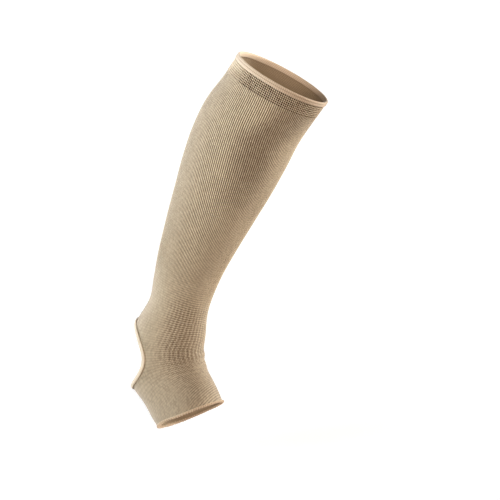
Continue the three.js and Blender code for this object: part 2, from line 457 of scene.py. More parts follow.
def split_place(tree, place):
    """The two numbers of a place in the stitch map, round the tube and down it."""
    parts = add_node(tree, "ShaderNodeSeparateXYZ", [(0, place)]).outputs
    return parts[0], parts[1]


SHIN = 0.5  # share of the way round, from the back


def shin_distance(tree, around):
    """The share of the way round that a place lies from the shin, on either side."""
    return math_node(tree, "ABSOLUTE", math_node(tree, "SUBTRACT", around, SHIN))


print("the stitch map has the shin at", SHIN)

# %% [markdown]
# The stitch pattern starts from two sets of grooves, one for each wale and one for each course. On the
# calf the knit is stretched, so the wales stand apart and the courses hardly show. On the foot the
# courses show more than the wales. From the ankle down to the heel the wales bunch in threes.

# %% The ribs of the stitch pattern
EASE = (0.52, 0.68)  # share of the way down the tube where the calf's stitches become the foot's
ANKLE = (0.60, 0.67, 0.80, 0.88)  # where the wales start to bunch, are bunched, and ease again
BUNCH = 3  # wales drawn together at the ankle
WEIGHTS = ("Calf wale", "Calf course", "Foot wale", "Foot course", "Bunch", "Calf and foot shade")

stitch_pattern, given, made = new_group(
    "stitch pattern",
    {"Place": None, "Wales": WALES, "Courses": 100, **dict.fromkeys(WEIGHTS, 0)},
    ["Gap", "Stitch tone"],
)
tree = stitch_pattern
around, down_tube = split_place(tree, given["Place"])
wale_count = math_node(tree, "MULTIPLY", around, given["Wales"])
course_count = math_node(tree, "MULTIPLY", down_tube, given["Courses"])
ease = soft_range(tree, down_tube, *EASE, 0, 1)
gaps = []
for count, part in ((wale_count, "wale"), (course_count, "course")):
    change = math_node(tree, "SUBTRACT", given["Foot " + part], given["Calf " + part])
    weight = math_node(tree, "MULTIPLY_ADD", change, ease, given["Calf " + part])
    gaps.append(math_node(tree, "MULTIPLY", groove(tree, count), weight))
bunch_weight = math_node(tree, "MULTIPLY", soft_band(tree, down_tube, ANKLE), given["Bunch"])
bunch_groove = groove(tree, math_node(tree, "DIVIDE", wale_count, BUNCH))
all_gaps = math_node(tree, "MULTIPLY_ADD", bunch_groove, bunch_weight, math_node(tree, "ADD", *gaps))
print("ribs:", len(tree.nodes), "nodes")

# %% [markdown]
# Stretched stitches show their gaps, and slack ones close up to an even tone. They are widest open over
# the shin and close towards the back of the tube, most of all on the foot: partly the stretch of the
# cloth, and partly painted shade. This could be left to the relief alone, but the gaps are painted as
# shade far darker than a groove of that depth would be.

# %% Where the stitches close up
OPEN = (0.25, 0.39)  # share of the way round from the shin where the stretched stitches close up
OPEN_DOWN = (0.64, 0.84)  # share of the way down over which they close nearer to the shin
OPEN_SHIFT = 0.075
OPEN_LEAST = (0.75, 0.15)  # how open they still are at the back of the calf and of the foot
TOE_DOWN = (0.84, 0.96)  # where they draw together towards the toe edge
OPEN_AT_TOE = 0.55
CLOSED_GAP = 0.45  # the even share of painted gap shade in stitches that have closed up

from_shin = shin_distance(tree, around)
shifted = math_node(tree, "ADD", from_shin, soft_range(tree, down_tube, *OPEN_DOWN, 0, OPEN_SHIFT))
closing = soft_range(tree, shifted, *OPEN, 0, 1)
least = math_node(tree, "MULTIPLY_ADD", ease, OPEN_LEAST[1] - OPEN_LEAST[0], OPEN_LEAST[0] - 1)
opened = math_node(tree, "MULTIPLY_ADD", closing, least, 1)
opened = math_node(tree, "MULTIPLY", opened, soft_range(tree, down_tube, *TOE_DOWN, 1, OPEN_AT_TOE))
contrast = math_node(tree, "SUBTRACT", all_gaps, CLOSED_GAP)
even_gap = math_node(tree, "MULTIPLY_ADD", contrast, opened, CLOSED_GAP)
print("ribs that open and close:", len(tree.nodes), "nodes")

# %% [markdown]
# Two tones of painted shade lie over that by their place on the cloth, and both were tuned in the same
# way. The calf is darker beside the shin, and the foot deepens towards the toe edge, partly for its
# denser knit. Each stitch also gets a tone of its own, by a noise over its wale and course, as no two
# real stitches are quite alike.

# %% Painted shade over the calf and the foot, and the tone of single stitches
CALF_SHADE_ROUND = (0.05, 0.15, 0.18, 0.27)  # share of the way round from the shin, over the calf
CALF_SHADE_DOWN = (0.15, 0.40)  # share of the way down where the painted shade over the calf ends
CALF_SHADE_SHIFT = (0.14, 0.085)  # nearer than this to the top, it lies this much closer to the shin
FOOT_DOWN = (0.60, 0.98)  # where the foot's denser knit deepens in tone, partly as painted shade
FOOT_TONE_AND_SHADE = 0.5

near_top = soft_range(tree, down_tube, 0, *CALF_SHADE_SHIFT, 0)
calf_shade = soft_band(tree, math_node(tree, "ADD", from_shin, near_top), CALF_SHADE_ROUND)
calf_shade = math_node(tree, "MULTIPLY", calf_shade, soft_range(tree, down_tube, *CALF_SHADE_DOWN, 1, 0))
calf_and_foot_shade = math_node(tree, "ADD", calf_shade, soft_range(tree, down_tube, *FOOT_DOWN, 0, FOOT_TONE_AND_SHADE))
gap = math_node(tree, "MULTIPLY_ADD", calf_and_foot_shade, given["Calf and foot shade"], even_gap, clamp=True)
tree.links.new(gap, made["Gap"])
counts = [math_node(tree, "FLOOR", count) for count in (wale_count, course_count)]
stitch = add_node(tree, "ShaderNodeCombineXYZ", enumerate(counts)).outputs[0]
tone = add_node(tree, "ShaderNodeTexWhiteNoise", [("Vector", stitch)], noise_dimensions="2D")
tree.links.new(tone.outputs["Value"], made["Stitch tone"])
print("group:", stitch_pattern.name, "with", len(tree.nodes), "nodes")

# %% The yarn fuzz
yarn_fuzz, given, made = new_group("yarn fuzz", {"Fibre size": 2200, "Blotch size": 28}, ["Fibre", "Blotch"])
tree = yarn_fuzz
at = add_node(tree, "ShaderNodeTexCoord").outputs["Object"]
for output, detail in (("Fibre", 3), ("Blotch", 4)):
    inputs = [("Vector", at), ("Scale", given[output + " size"]), ("Detail", detail)]
    tree.links.new(add_node(tree, "ShaderNodeTexNoise", inputs).outputs[0], made[output])
print("group:", yarn_fuzz.name, "with", len(tree.nodes), "nodes")

# %% The twist of a thread
thread_twist, given, made = new_group("thread twist", {"Place": None, "Turns": 40, "Plies": 2}, ["Twist"])
tree = thread_twist
along, across = split_place(tree, given["Place"])
turns = math_node(tree, "MULTIPLY", along, given["Turns"])
plies = math_node(tree, "MULTIPLY_ADD", across, given["Plies"], turns)
tree.links.new(groove(tree, plies), made["Twist"])
print("group:", thread_twist.name, "with", len(tree.nodes), "nodes")

# %% The painted shade towards the shin
SHIN_SHADE_ROUND = (0.06, 0.32)  # share of the way round from the shin where the painted shade eases, and ends

shin_shade, given, made = new_group("shin shade", {"Place": None}, ["Strain"])
tree = shin_shade
from_shin = shin_distance(tree, split_place(tree, given["Place"])[0])
tree.links.new(soft_range(tree, from_shin, *SHIN_SHADE_ROUND, 1, 0), made["Strain"])
print("group:", shin_shade.name, "with", len(tree.nodes), "nodes")

# %% [markdown]
# ## The finishes
#
# Everything here is matt yarn, so the finishes differ in colour and in how deep their gaps are. The crown
# of a stitch catches the light, and the gap beside it lies in shade, which is painted here: a finish mixes
# a yarn colour with a dark, warm gap colour as painted shade, and its other values say how uneven the dye
# is, how rough the yarn is and how much sheen it has. The sheen gives the pale rim that loose fibres make
# where the cloth turns away.

# %% A cloth material
SHEEN_ROUGH = 0.45
SHEEN_TINT = (1.0, 0.96, 0.88, 1)
GLOSS = 0.25
FIBRE_TONE = 0.1
FIBRE_ROUGH = 0.12
FIBRE_BUMP = [("Strength", 0.5), ("Distance", 0.2 * MM)]
Finish = namedtuple("Finish", "material tree gap height fibre")


def spread(tree, noise, middle, reach):
    """Turns a noise between 0 and 1 into a value that varies round a middle."""
    inputs = [("Value", noise), ("To Min", middle - reach), ("To Max", middle + reach)]
    return add_node(tree, "ShaderNodeMapRange", inputs).outputs[0]


def cloth_finish(name, yarn, gap, uneven, sheen, rough):
    """A cloth material with a Principled shader, and the sockets that a pattern is linked to."""
    material = bpy.data.materials.new(name)
    material.use_nodes = True
    tree = material.node_tree
    shader = tree.nodes["Principled BSDF"].inputs
    shader["Sheen Weight"].default_value = sheen
    shader["Sheen Roughness"].default_value = SHEEN_ROUGH
    shader["Sheen Tint"].default_value = SHEEN_TINT
    shader["Specular IOR Level"].default_value = GLOSS

    fuzz = add_node(tree, "ShaderNodeGroup", node_tree=yarn_fuzz).outputs
    mix = add_node(tree, "ShaderNodeMix", [(6, (*yarn, 1)), (7, (*gap, 1))], data_type="RGBA")
    dye = spread(tree, fuzz["Blotch"], 1, uneven)
    tone = math_node(tree, "MULTIPLY", dye, spread(tree, fuzz["Fibre"], 1, FIBRE_TONE))
    shade = add_node(tree, "ShaderNodeVectorMath", [(0, mix.outputs[2]), (3, tone)], operation="SCALE")
    bump = add_node(tree, "ShaderNodeBump", [*FIBRE_BUMP, ("Height", fuzz["Fibre"])])
    tree.links.new(shade.outputs[0], shader["Base Color"])
    tree.links.new(spread(tree, fuzz["Fibre"], rough, FIBRE_ROUGH), shader["Roughness"])
    tree.links.new(bump.outputs[0], shader["Normal"])
    return Finish(material, tree, mix.inputs[0], bump.inputs["Height"], fuzz["Fibre"])


print("a finish has", ", ".join(Finish._fields))

# %% A cloth material with stitches
STITCH_TONE = 0.07  # how far the tone of one stitch may lie from the next


def place_effect(finish, group, values):
    """Places a shared effect in a material, at the places of the stitch map."""
    at = add_node(finish.tree, "ShaderNodeUVMap", uv_map="stitches").outputs[0]
    inputs = [("Place", at), *values.items()]
    return add_node(finish.tree, "ShaderNodeGroup", inputs, node_tree=group).outputs


def stitched_finish(name, yarn, gap, uneven, sheen, rough, courses, weights, shaded=0):
    """A cloth material with painted shade in its stitch gaps, and towards the shin where shaded."""
    finish = cloth_finish(name, yarn, gap, uneven, sheen, rough)
    tree = finish.tree
    knit = place_effect(finish, stitch_pattern, {"Courses": courses, **dict(zip(WEIGHTS, weights))})
    tone = math_node(tree, "MULTIPLY_ADD", knit["Stitch tone"], 2 * STITCH_TONE, -STITCH_TONE)
    shown = math_node(tree, "ADD", knit["Gap"], tone, clamp=True)
    if shaded:
        # the painted shade towards the shin
        drawn = place_effect(finish, shin_shade, {})["Strain"]
        shown = math_node(tree, "MULTIPLY_ADD", drawn, shaded, shown, clamp=True)
    tree.links.new(shown, finish.gap)
    tree.links.new(math_node(tree, "SUBTRACT", finish.fibre, knit["Gap"]), finish.height)
    print("finish:", name, "with", len(tree.nodes), "nodes")
    return finish.material


print("stitches differ by up to", 2 * STITCH_TONE, "in tone")

# %% [markdown]
# ## The elastic knit
#
# The leg and foot of the stocking are one tube of plain knit over elastic. Its outside is a field of
# small Vs: each wale is a rib, and each course draws a V across it. A bump map would show them from
# straight ahead, but the rib ends vanish at the outline, so the relief is built into the mesh: four
# columns to a wale and two rows to a course, with the rows lifted between the wales to make the Vs.

# %% Knit dimensions
KNIT_WALL = 1.2 * MM
TAPE_WALL = 1.0 * MM
SEWN_GAP = 0.35 * MM
FOLD = TAPE_WALL + SEWN_GAP
WELT_HEIGHT = 5 * MM
MESH_HEIGHT = 16 * MM
LENGTH_GAP = 0.2 * MM
COURSE_PITCH = 2.75 * MM
ROWS_PER_COURSE = 2

sleeve_top = FOLD + WELT_HEIGHT + MESH_HEIGHT + LENGTH_GAP
sleeve_toe = float(side_length[-1]) - FOLD
COURSES = round((sleeve_toe - sleeve_top) / COURSE_PITCH)
LAST_STEP = COURSES * ROWS_PER_COURSE
print("courses:", COURSES, "of", round((sleeve_toe - sleeve_top) / COURSES / MM, 2), "mm")

# %% [markdown]
# The heel opening is an oval on the back of the tube, fuller towards the sole. The regular stitches
# are cut along it as a pair of scissors would: cells inside it are left out, and the corners of the
# cells that remain are moved onto its edge, where the binding covers them.

# %% The edge of the heel opening
HEEL_TOP = 9.97  # rows of the section table
HEEL_LOW = 12.28
HEEL_HALF = math.radians(73)
HEEL_FULLER = 1.2
EDGE_SAMPLES = 4001
EDGE_PLACES = 1200


def heel_half(rows):
    """Half the angle that the heel opening takes at each row, 0 above and below it."""
    down = np.clip((rows - HEEL_TOP) / (HEEL_LOW - HEEL_TOP), 0, 1)
    cos = 1 - 2 * down**HEEL_FULLER
    return HEEL_HALF * np.sqrt(np.maximum(0, 1 - cos**2))


def heel_edge(count):
    """Even places round the heel opening, down its outer side and back up its inner side."""
    turn = np.linspace(0, 2 * math.pi, EDGE_SAMPLES)
    down = ((1 - np.cos(turn)) / 2) ** (1 / HEEL_FULLER)
    rows = HEEL_TOP + down * (HEEL_LOW - HEEL_TOP)
    from_back = HEEL_HALF * np.sin(turn)
    length = path_length(worn_point(rows, math.pi - from_back))
    even = np.linspace(0, length[-1], count, endpoint=False)
    return np.interp(even, length, rows), math.pi - np.interp(even, length, from_back), length[-1]


edge_rows, edge_angles, edge_length = heel_edge(EDGE_PLACES)
edge_tree = KDTree(EDGE_PLACES)
for number, point in enumerate(worn_point(edge_rows, edge_angles)):
    edge_tree.insert(point, number)
edge_tree.balance()
print("heel edge:", round(edge_length / MM), "mm round")

# %% Cut along the heel opening
BINDING_EDGE = 3.4 * MM
BINDING_PULL = 0.12 * MM
PULL_WIDTH = 1.5 * MM
PULL_ROWS = 0.6


def cut_heel(rows, angles, kept):
    """Moves the corners along the cut onto the edge of the heel opening."""
    cells = np.repeat(np.repeat(kept, 2, 0), 2, 1)
    padded = np.vstack([cells[:1], cells, cells[-1:]])
    around = np.stack([padded[:-1], padded[1:], np.roll(padded[:-1], 1, 1), np.roll(padded[1:], 1, 1)])
    cut = around.any(0) & ~around.all(0)
    for i, j in np.argwhere(cut):
        _, number, _ = edge_tree.find(worn_point(rows[i, j], angles[i, j]))
        rows[i, j] = edge_rows[number]
        angles[i, j] = edge_angles[number]
    return cells


def binding_dip(rows, angles):
    """The small hollow that the sewn binding pulls into the knit beside it."""
    dip = np.zeros(rows.shape)
    near = (rows > HEEL_TOP - PULL_ROWS) & (rows < HEEL_LOW + PULL_ROWS) & (np.cos(angles) < 0.3)
    for i, j in np.argwhere(near):
        _, _, far = edge_tree.find(worn_point(rows[i, j], angles[i, j]))
        dip[i, j] = BINDING_PULL * math.exp(-(((far - BINDING_EDGE) / PULL_WIDTH) ** 2))
    return dip


print("the binding covers", round(BINDING_EDGE / MM, 1), "mm of the knit")

# %% [markdown]
# Each corner of the grid is then pressed in by the depth of its groove. The grooves follow the same
# limits as the stitch pattern, so that above the foot the dark gaps lie in them. On the foot the stitches
# lie askew to the tube, and the toe edge cuts across them. Turning the grid itself would leave it ragged
# at that edge, so only the stitch map is turned there, and the relief is pressed nearly flat under it.

# %% The relief of the stitches
GROOVE_OF_COLUMN = np.array([1.0, 0.3, 0.0, 0.3])
CALF_GROOVES = (0.55 * MM, 0.12 * MM)  # of the wales and of the courses
FOOT_GROOVES = (0.30 * MM, 0.26 * MM)
BUNCH_GROOVE = 0.20 * MM
PIT_DEPTH = 0.15 * MM
ASKEW_DOWN = (0.78, 0.94)  # share of the way down where the foot's stitches turn askew
ASKEW_TURN = 7  # wales
ASKEW_TILT = 0.05  # of the length of the tube
ASKEW_LOOSE = 0.12  # how much longer the stitches get
ASKEW_PLACE = 0.77
FOOT_FLAT = 0.8  # the relief lost there


def smooth_step(value, low, high):
    """Eases from 0 to 1 between two limits."""
    t = np.clip((value - low) / (high - low), 0, 1)
    return t * t * (3 - 2 * t)


def stitch_depth(steps, columns):
    """How far each corner of the stitch grid lies below the crown of its stitch."""
    down = (steps / LAST_STEP)[:, None]
    around = columns[None, :] / COLUMNS
    ease = smooth_step(down, *EASE)
    wale = GROOVE_OF_COLUMN[columns % COLUMNS_PER_WALE][None, :]
    course = (steps % ROWS_PER_COURSE == 0).astype(float)[:, None]
    depth = (wale == 1) * course * PIT_DEPTH
    for rib, calf, foot in zip((wale, course), CALF_GROOVES, FOOT_GROOVES):
        depth = depth + rib * (calf + ease * (foot - calf))
    bunched = smooth_step(down, *ANKLE[:2]) * (1 - smooth_step(down, *ANKLE[2:]))
    depth = depth + bunched * BUNCH_GROOVE * (0.5 + 0.5 * np.cos(2 * math.pi * around * WALES / BUNCH))
    least = OPEN_LEAST[0] + ease * (OPEN_LEAST[1] - OPEN_LEAST[0])
    closing = smooth_step(np.abs(around - SHIN) + OPEN_SHIFT * smooth_step(down, *OPEN_DOWN), *OPEN)
    return depth * (1 + closing * (least - 1)) * (1 - FOOT_FLAT * smooth_step(down, *ASKEW_DOWN))


def askew(around, down):
    """The place of the foot's stitches in the stitch map."""
    part = smooth_step(down, *ASKEW_DOWN)
    tilt = ASKEW_TILT * np.sin(2 * math.pi * (around - ASKEW_PLACE))
    loose = ASKEW_LOOSE * np.clip(down - ASKEW_DOWN[0], 0, 1) ** 2 / (1 - ASKEW_DOWN[0])
    return around + ASKEW_TURN / WALES * part, down - part * tilt - loose


print("deepest pit:", round((sum(CALF_GROOVES) + PIT_DEPTH) / MM, 2), "mm")

# %% The folds of the worn cloth
CREASES = ((11.18, 0.13, 0.95), (11.5, 0.13, -0.45), (11.85, 0.14, 0.3))  # row, width, height in mm
CREASE_FRONT = (0.35, 1)  # cosine of the angle from the shin, where a crease ends and is full
WAVES = ((0.12, 2.1, 3, 0), (0.1, 3.3, -2, 1))  # height in mm, radians for a row and round, start
SUNK = 0.22  # mm, so that the waves stay under the worn surface


def creases(rows, angles):
    """The soft folds across the instep, and the slight unevenness of worn cloth."""
    fold = np.zeros(rows.shape)
    for row, width, height in CREASES:
        fold += height * np.exp(-(((rows - row) / width) ** 2))
    rise = fold * smooth_step(np.cos(angles), *CREASE_FRONT) - SUNK
    for height, down, around, start in WAVES:
        rise += height * np.sin(down * rows + around * angles + start)
    return rise * MM


print("folds over the instep:", len(CREASES))


# %% Faces and rims of a grid that closes round the tube
def faces_of(grid, share, drawn=None):
    """The four-cornered faces of a grid, with their places in the stitch map."""
    beside = np.roll(grid, -1, axis=1)
    corners = np.stack([grid[:-1], grid[1:], beside[1:], beside[:-1]], -1)
    maps = np.meshgrid(np.linspace(0, 1, grid.shape[1] + 1), share)
    if drawn:
        maps = drawn(*maps)
    around, down = [np.stack([m[:-1, :-1], m[1:, :-1], m[1:, 1:], m[:-1, 1:]], -1) for m in maps]
    return corners, np.stack([around, down], -1)


def add_rims(cloth, outer, inner, kept, share):
    """Closes the wall wherever a kept cell has no neighbour. Two outer edges meet each inner one."""
    around = inner.shape[1]
    none = np.zeros((1, around), bool)
    below = np.vstack([kept, none])
    above = np.vstack([none, kept])
    beside = np.roll(kept, 1, 1)
    runs = [
        (below & ~above, (0, 1), 1),
        (above & ~below, (0, 1), -1),
        (kept & ~beside, (1, 0), -1),
        (beside & ~kept, (1, 0), 1),
    ]
    for open_side, (down, across), way in runs:
        i, j = np.argwhere(open_side).T
        o = [outer[2 * i + k * down, (2 * j + k * across) % (2 * around)] for k in range(3)]
        n = [inner[i + k * down, (j + k * across) % around] for k in range(2)]
        places = np.stack([j / around, share[i]], -1)[:, None, :]
        for corners in ((o[0], o[1], n[0]), (o[1], n[1], n[0]), (o[1], o[2], n[1])):
            cloth.add_faces(np.stack(corners, -1)[:, ::way], places, (0.73, 0.75))


sample = faces_of(np.arange(12).reshape(3, 4), np.arange(3))[0]
print("3 rows of 4 corners close into", sample.shape[0] * sample.shape[1], "faces")

# %% One length of the knit tube
LIFT_OF_COLUMN = np.array([0.9, 0.5, 0.0, 0.5])  # of the step from one row to the next
LIFT_FADE = 4  # steps at each end of the tube over which the rows come level
INSIDE_DEPTH = 1.1 * MM


def knit_length(name, first, last, *materials):
    """A closed length of the knit, from one course to another."""
    steps = np.arange(first * ROWS_PER_COURSE, last * ROWS_PER_COURSE + 1)
    columns = np.arange(COLUMNS)
    fade = np.clip(np.minimum(steps, LAST_STEP - steps) / LIFT_FADE, 0, 1)[:, None]
    lifted = steps[:, None] - fade * LIFT_OF_COLUMN[columns % COLUMNS_PER_WALE][None, :]
    distance = sleeve_top + lifted / LAST_STEP * (sleeve_toe - sleeve_top)
    rows, angles = tube_place(distance, columns[None, :] / COLUMNS_PER_WALE)
    kept = (math.pi - np.abs(angles[1::2, 1::2])) >= heel_half(rows[1::2, 1::2])
    cells = cut_heel(rows, angles, kept)

    normal = worn_normal(rows, angles)
    surface = worn_point(rows, angles) + normal * creases(rows, angles)[..., None]
    depth = stitch_depth(steps, columns) + binding_dip(rows, angles)
    cloth = Cloth()
    outer = cloth.add_points(surface - normal * depth[..., None])
    inner = cloth.add_points((surface - normal * INSIDE_DEPTH)[::2, ::2])

    share = steps / LAST_STEP
    corners, places = faces_of(outer, share, askew)
    cloth.add_faces(corners[cells], places[cells], (0, 0.72))
    corners, places = faces_of(inner, share[::2])
    cloth.add_faces(corners[kept][:, ::-1], places[kept][:, ::-1], (0.76, 1), finish=1)
    add_rims(cloth, outer, inner, kept, share[::2])
    return make_piece(cloth, name, *materials)


print("the inside lies", round(INSIDE_DEPTH / MM, 1), "mm under the crowns")

# %% [markdown]
# The imported model holds the tube in three lengths, so the knit is made in three as well. They are cut
# along a course, and the stitches run on from one to the next. The outside is beige yarn over gaps painted
# dark as shade. The inside is a guess: the same knit, painted darker as shade and with a flatter pattern.

# %% Knit the three lengths
SHANK_TOP = 5  # rows of the section table
FOOT_TOP = 9.3


def course_at(row):
    """The course nearest to a row of the section table."""
    distance = float(np.interp(row, side_rows, side_length))
    return round((distance - sleeve_top) / (sleeve_toe - sleeve_top) * COURSES)


elastic_knit = stitched_finish(
    "elastic knit",
    yarn=(0.60, 0.51, 0.355),
    # the gap colour is painted shade in the gaps between stitches
    gap=(0.06, 0.032, 0.015),
    uneven=0.06,
    sheen=0.5,
    rough=0.8,
    courses=COURSES,
    # the last weight is the painted shade over the calf and the foot
    weights=(1.0, 0.10, 0.45, 0.60, 0.22, 0.32),
)
# the inside is the outside knit painted darker, as shade inside the tube
shaded_knit_inside = stitched_finish(
    "shaded knit inside",
    yarn=(0.36, 0.28, 0.185),
    gap=(0.13, 0.09, 0.05),
    uneven=0.06,
    sheen=0.1,
    rough=0.85,
    courses=COURSES,
    weights=(0.3, 0.4, 0.3, 0.4, 0, 0),
)
cuts = [0, course_at(SHANK_TOP), course_at(FOOT_TOP), COURSES]
knit = {}
for node, first, last in zip(("calf_knit", "shank_knit", "foot_knit"), cuts, cuts[1:]):
    knit[node] = knit_length(node + "_stitches", first, last, elastic_knit, shaded_knit_inside)
    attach(knit[node], "root")
    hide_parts(node)
print("cut at courses", cuts)

# %% [markdown]
# ## The mesh band
#
# Below the welt the machine drops to an open mesh: a square lattice of yarn with a deep hole between
# every two wales. A layer lies behind it here, a guess at how the top is held up, and it is coloured near
# black as painted shade, so each hole ends in shade. A picture of dark spots would look flat from the side,
# so each cell is a ring of faces that rounds over into its own hole. The holes are widest over the shin and
# half that size at the back. Each one differs a little from the next, by a seeded random draw.

# %% Lay out the lattice
MESH_CELLS = 7
MESH_WALL = 1.15 * MM
MESH_SHARE = 0.8  # the lattice's share of the mesh in the stitch map, below the plain edge
KNOT_DIPS = (0.30 * MM, 0.05 * MM)  # of the bars between two wales, and of the wales between two knots
lattice_top = FOLD + WELT_HEIGHT - 0.15 * MM
lattice_low = FOLD + WELT_HEIGHT + MESH_HEIGHT + 0.15 * MM
mesh_high = 2 * MESH_CELLS + 1
mesh_wide = 2 * WALES


def lattice_points(half_rows, half_columns, out):
    """Points of the lattice, counted in half cells."""
    distance = lattice_top + half_rows / (2 * MESH_CELLS) * (lattice_low - lattice_top)
    return on_tube(distance, 0.5 + half_columns / 2, np.broadcast_to(out, np.shape(half_rows)))


def lattice_bars(cloth):
    """The corners of the lattice, in front and behind."""
    rows, columns = np.meshgrid(np.arange(mesh_high), np.arange(mesh_wide), indexing="ij")
    dip = ((columns % 2 == 1) & (rows % 2 == 0)) * KNOT_DIPS[0]
    dip = dip + ((columns % 2 == 0) & (rows % 2 == 1)) * KNOT_DIPS[1]
    bars = cloth.add_points(lattice_points(rows, columns, -dip))
    return bars, cloth.add_points(lattice_points(rows, columns, -MESH_WALL))


mesh_cloth = Cloth()
mesh_bars, mesh_backs = lattice_bars(mesh_cloth)
print("mesh cells:", MESH_CELLS, "high and", WALES, "round")

# %% Sink the holes
HOLE_HALF = (0.41, 0.445)  # half of the hole, as a share of the cell across and down
HOLE_CORNER = 0.82
HOLE_OPEN = (0.26, 0.42)  # share of the way round from the shin where the holes close up
HOLE_LEAST = 0.5
HOLE_UNEVEN = (0.92, 1.08)
HOLE_DEPTHS = ((0.5, -0.05), (1.0, -0.3), (0.98, -0.55), (0.95, -0.80))  # share of the way in, mm out
HOLE_DARK = 2  # the ring where the yarn ends and the near-black painted shade of the layer begins
CELL_RING = np.array([(0, 0), (1, 0), (2, 0), (2, 1), (2, 2), (1, 2), (0, 2), (0, 1)])
mesh_uneven = np.random.default_rng(11)


def hole_rings(cloth, bars):
    """Rings of corners from the bars of each cell into its hole, and the places of the first ring."""
    i, j = np.meshgrid(np.arange(MESH_CELLS), np.arange(WALES), indexing="ij")
    middle_row, middle_column = 2 * i[..., None] + 1, 2 * j[..., None] + 1
    away = CELL_RING - 1
    rows, columns = middle_row + away[:, 1], middle_column + away[:, 0]
    corner = np.abs(away).sum(1) == 2
    toward = 2 * away * np.array(HOLE_HALF) * np.where(corner, HOLE_CORNER, 1)[:, None]
    closing = smooth_step(np.abs((j[..., None] + 1) / WALES - SHIN), *HOLE_OPEN)
    size = mesh_uneven.uniform(*HOLE_UNEVEN, (*i.shape, 1)) * (1 + closing * (HOLE_LEAST - 1))
    hole_rows, hole_columns = middle_row + toward[:, 1] * size, middle_column + toward[:, 0] * size
    rings = [bars[rows, columns % mesh_wide]]
    for part, out in HOLE_DEPTHS:
        row = rows + part * (hole_rows - rows)
        column = columns + part * (hole_columns - columns)
        rings.append(cloth.add_points(lattice_points(row, column, out * MM)))
    down = rows / (mesh_high - 1) * MESH_SHARE + 1 - MESH_SHARE
    return rings, np.stack([columns / mesh_wide, down], -1)


def add_lattice(cloth, bars, backs):
    """The faces of the bars, the holes and the back of the lattice."""
    rings, places = hole_rings(cloth, bars)
    near = np.roll(places, -1, 2)
    mapped = np.stack([places, near, near, places], -2)
    for depth, (ring, deeper) in enumerate(zip(rings, rings[1:])):
        corners = np.stack([ring, np.roll(ring, -1, 2), np.roll(deeper, -1, 2), deeper], -1)
        strip = (depth * 0.15, depth * 0.15 + 0.14)
        cloth.add_faces(corners[..., ::-1], mapped[..., ::-1, :], strip, int(depth >= HOLE_DARK))
    cloth.add_faces(rings[-1][..., ::-1], places[..., ::-1, :], (0.6, 0.69), 1)
    corners, places = faces_of(backs, np.linspace(1 - MESH_SHARE, 1, mesh_high))
    cloth.add_faces(corners[..., ::-1], places[..., ::-1, :], (0.7, 0.79), 2)


add_lattice(mesh_cloth, mesh_bars, mesh_backs)
print("corners of the mesh:", mesh_cloth.count)

# %% Add the plain edge under the welt
EDGE_LEVELS = (FOLD, FOLD + WELT_HEIGHT / 2)


def plain_edge(cloth, bars, backs):
    """Joins the lattice to a plain strip that reaches up into the fold of the welt."""
    columns = np.arange(mesh_wide)
    strips = []
    for grid, out in ((bars, 0), (backs, -MESH_WALL)):
        depth = np.full(mesh_wide, out)
        levels = [cloth.add_points(on_tube(at, 0.5 + columns / 2, depth)) for at in EDGE_LEVELS]
        strips.append(np.stack([*levels, grid[0]]))
    share = np.linspace(0, 1 - MESH_SHARE, 3)
    for side, (strip, way) in enumerate(zip(strips, (1, -1))):
        corners, places = faces_of(strip, share)
        cloth.add_faces(corners[..., ::way], places[..., ::way, :], (0.8 + side / 20, 0.84 + side / 20))
    u = np.stack([columns, columns + 1, columns + 1, columns], -1) / mesh_wide
    for front, rear, way, down in ((strips[0][0], strips[1][0], 1, 0), (bars[-1], backs[-1], -1, 1)):
        ends = np.stack([front, np.roll(front, -1), np.roll(rear, -1), rear], -1)
        places = np.stack([u, np.full(u.shape, down)], -1)
        cloth.add_faces(ends[:, ::way], places[:, ::way], (0.91, 0.95))


plain_edge(mesh_cloth, mesh_bars, mesh_backs)
print("plain edge:", round((lattice_top - FOLD) / MM, 2), "mm high")

# %% Finish the mesh band
mesh_yarn = stitched_finish(
    "mesh yarn",
    yarn=(0.69, 0.58, 0.412),
    gap=(0.20, 0.145, 0.085),
    uneven=0.05,
    sheen=0.35,
    rough=0.8,
    courses=MESH_CELLS / MESH_SHARE,
    weights=(0.1, 0.1, 0.1, 0.1, 0, 0),
    # painted shade towards the shin
    shaded=0.3,
)
# near black: painted shade at the floor of each hole
hole_shade_layer = cloth_finish(
    "hole shade layer", yarn=(0.04, 0.019, 0.008), gap=(0.02, 0.01, 0.005), uneven=0.1, sheen=0.0, rough=0.85
)
hole_shade_layer.gap.default_value = 0.3
mesh_band = make_piece(mesh_cloth, "mesh_band_lattice", mesh_yarn, hole_shade_layer.material, shaded_knit_inside)
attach(mesh_band, "root")
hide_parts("mesh_band")

# %% [markdown]
# ## The top welt
#
# The welt, the heel binding and the toe edging are all a strip folded over a raw edge, a U in section.
# A bevelled curve would give a round cord, so each one is lofted instead: a profile of the fold, given
# as distances into the knit and out of it, is carried round its edge. The welt comes first. It is fine
# ribbed knit, and a line of stitches sews it down and dimples it.

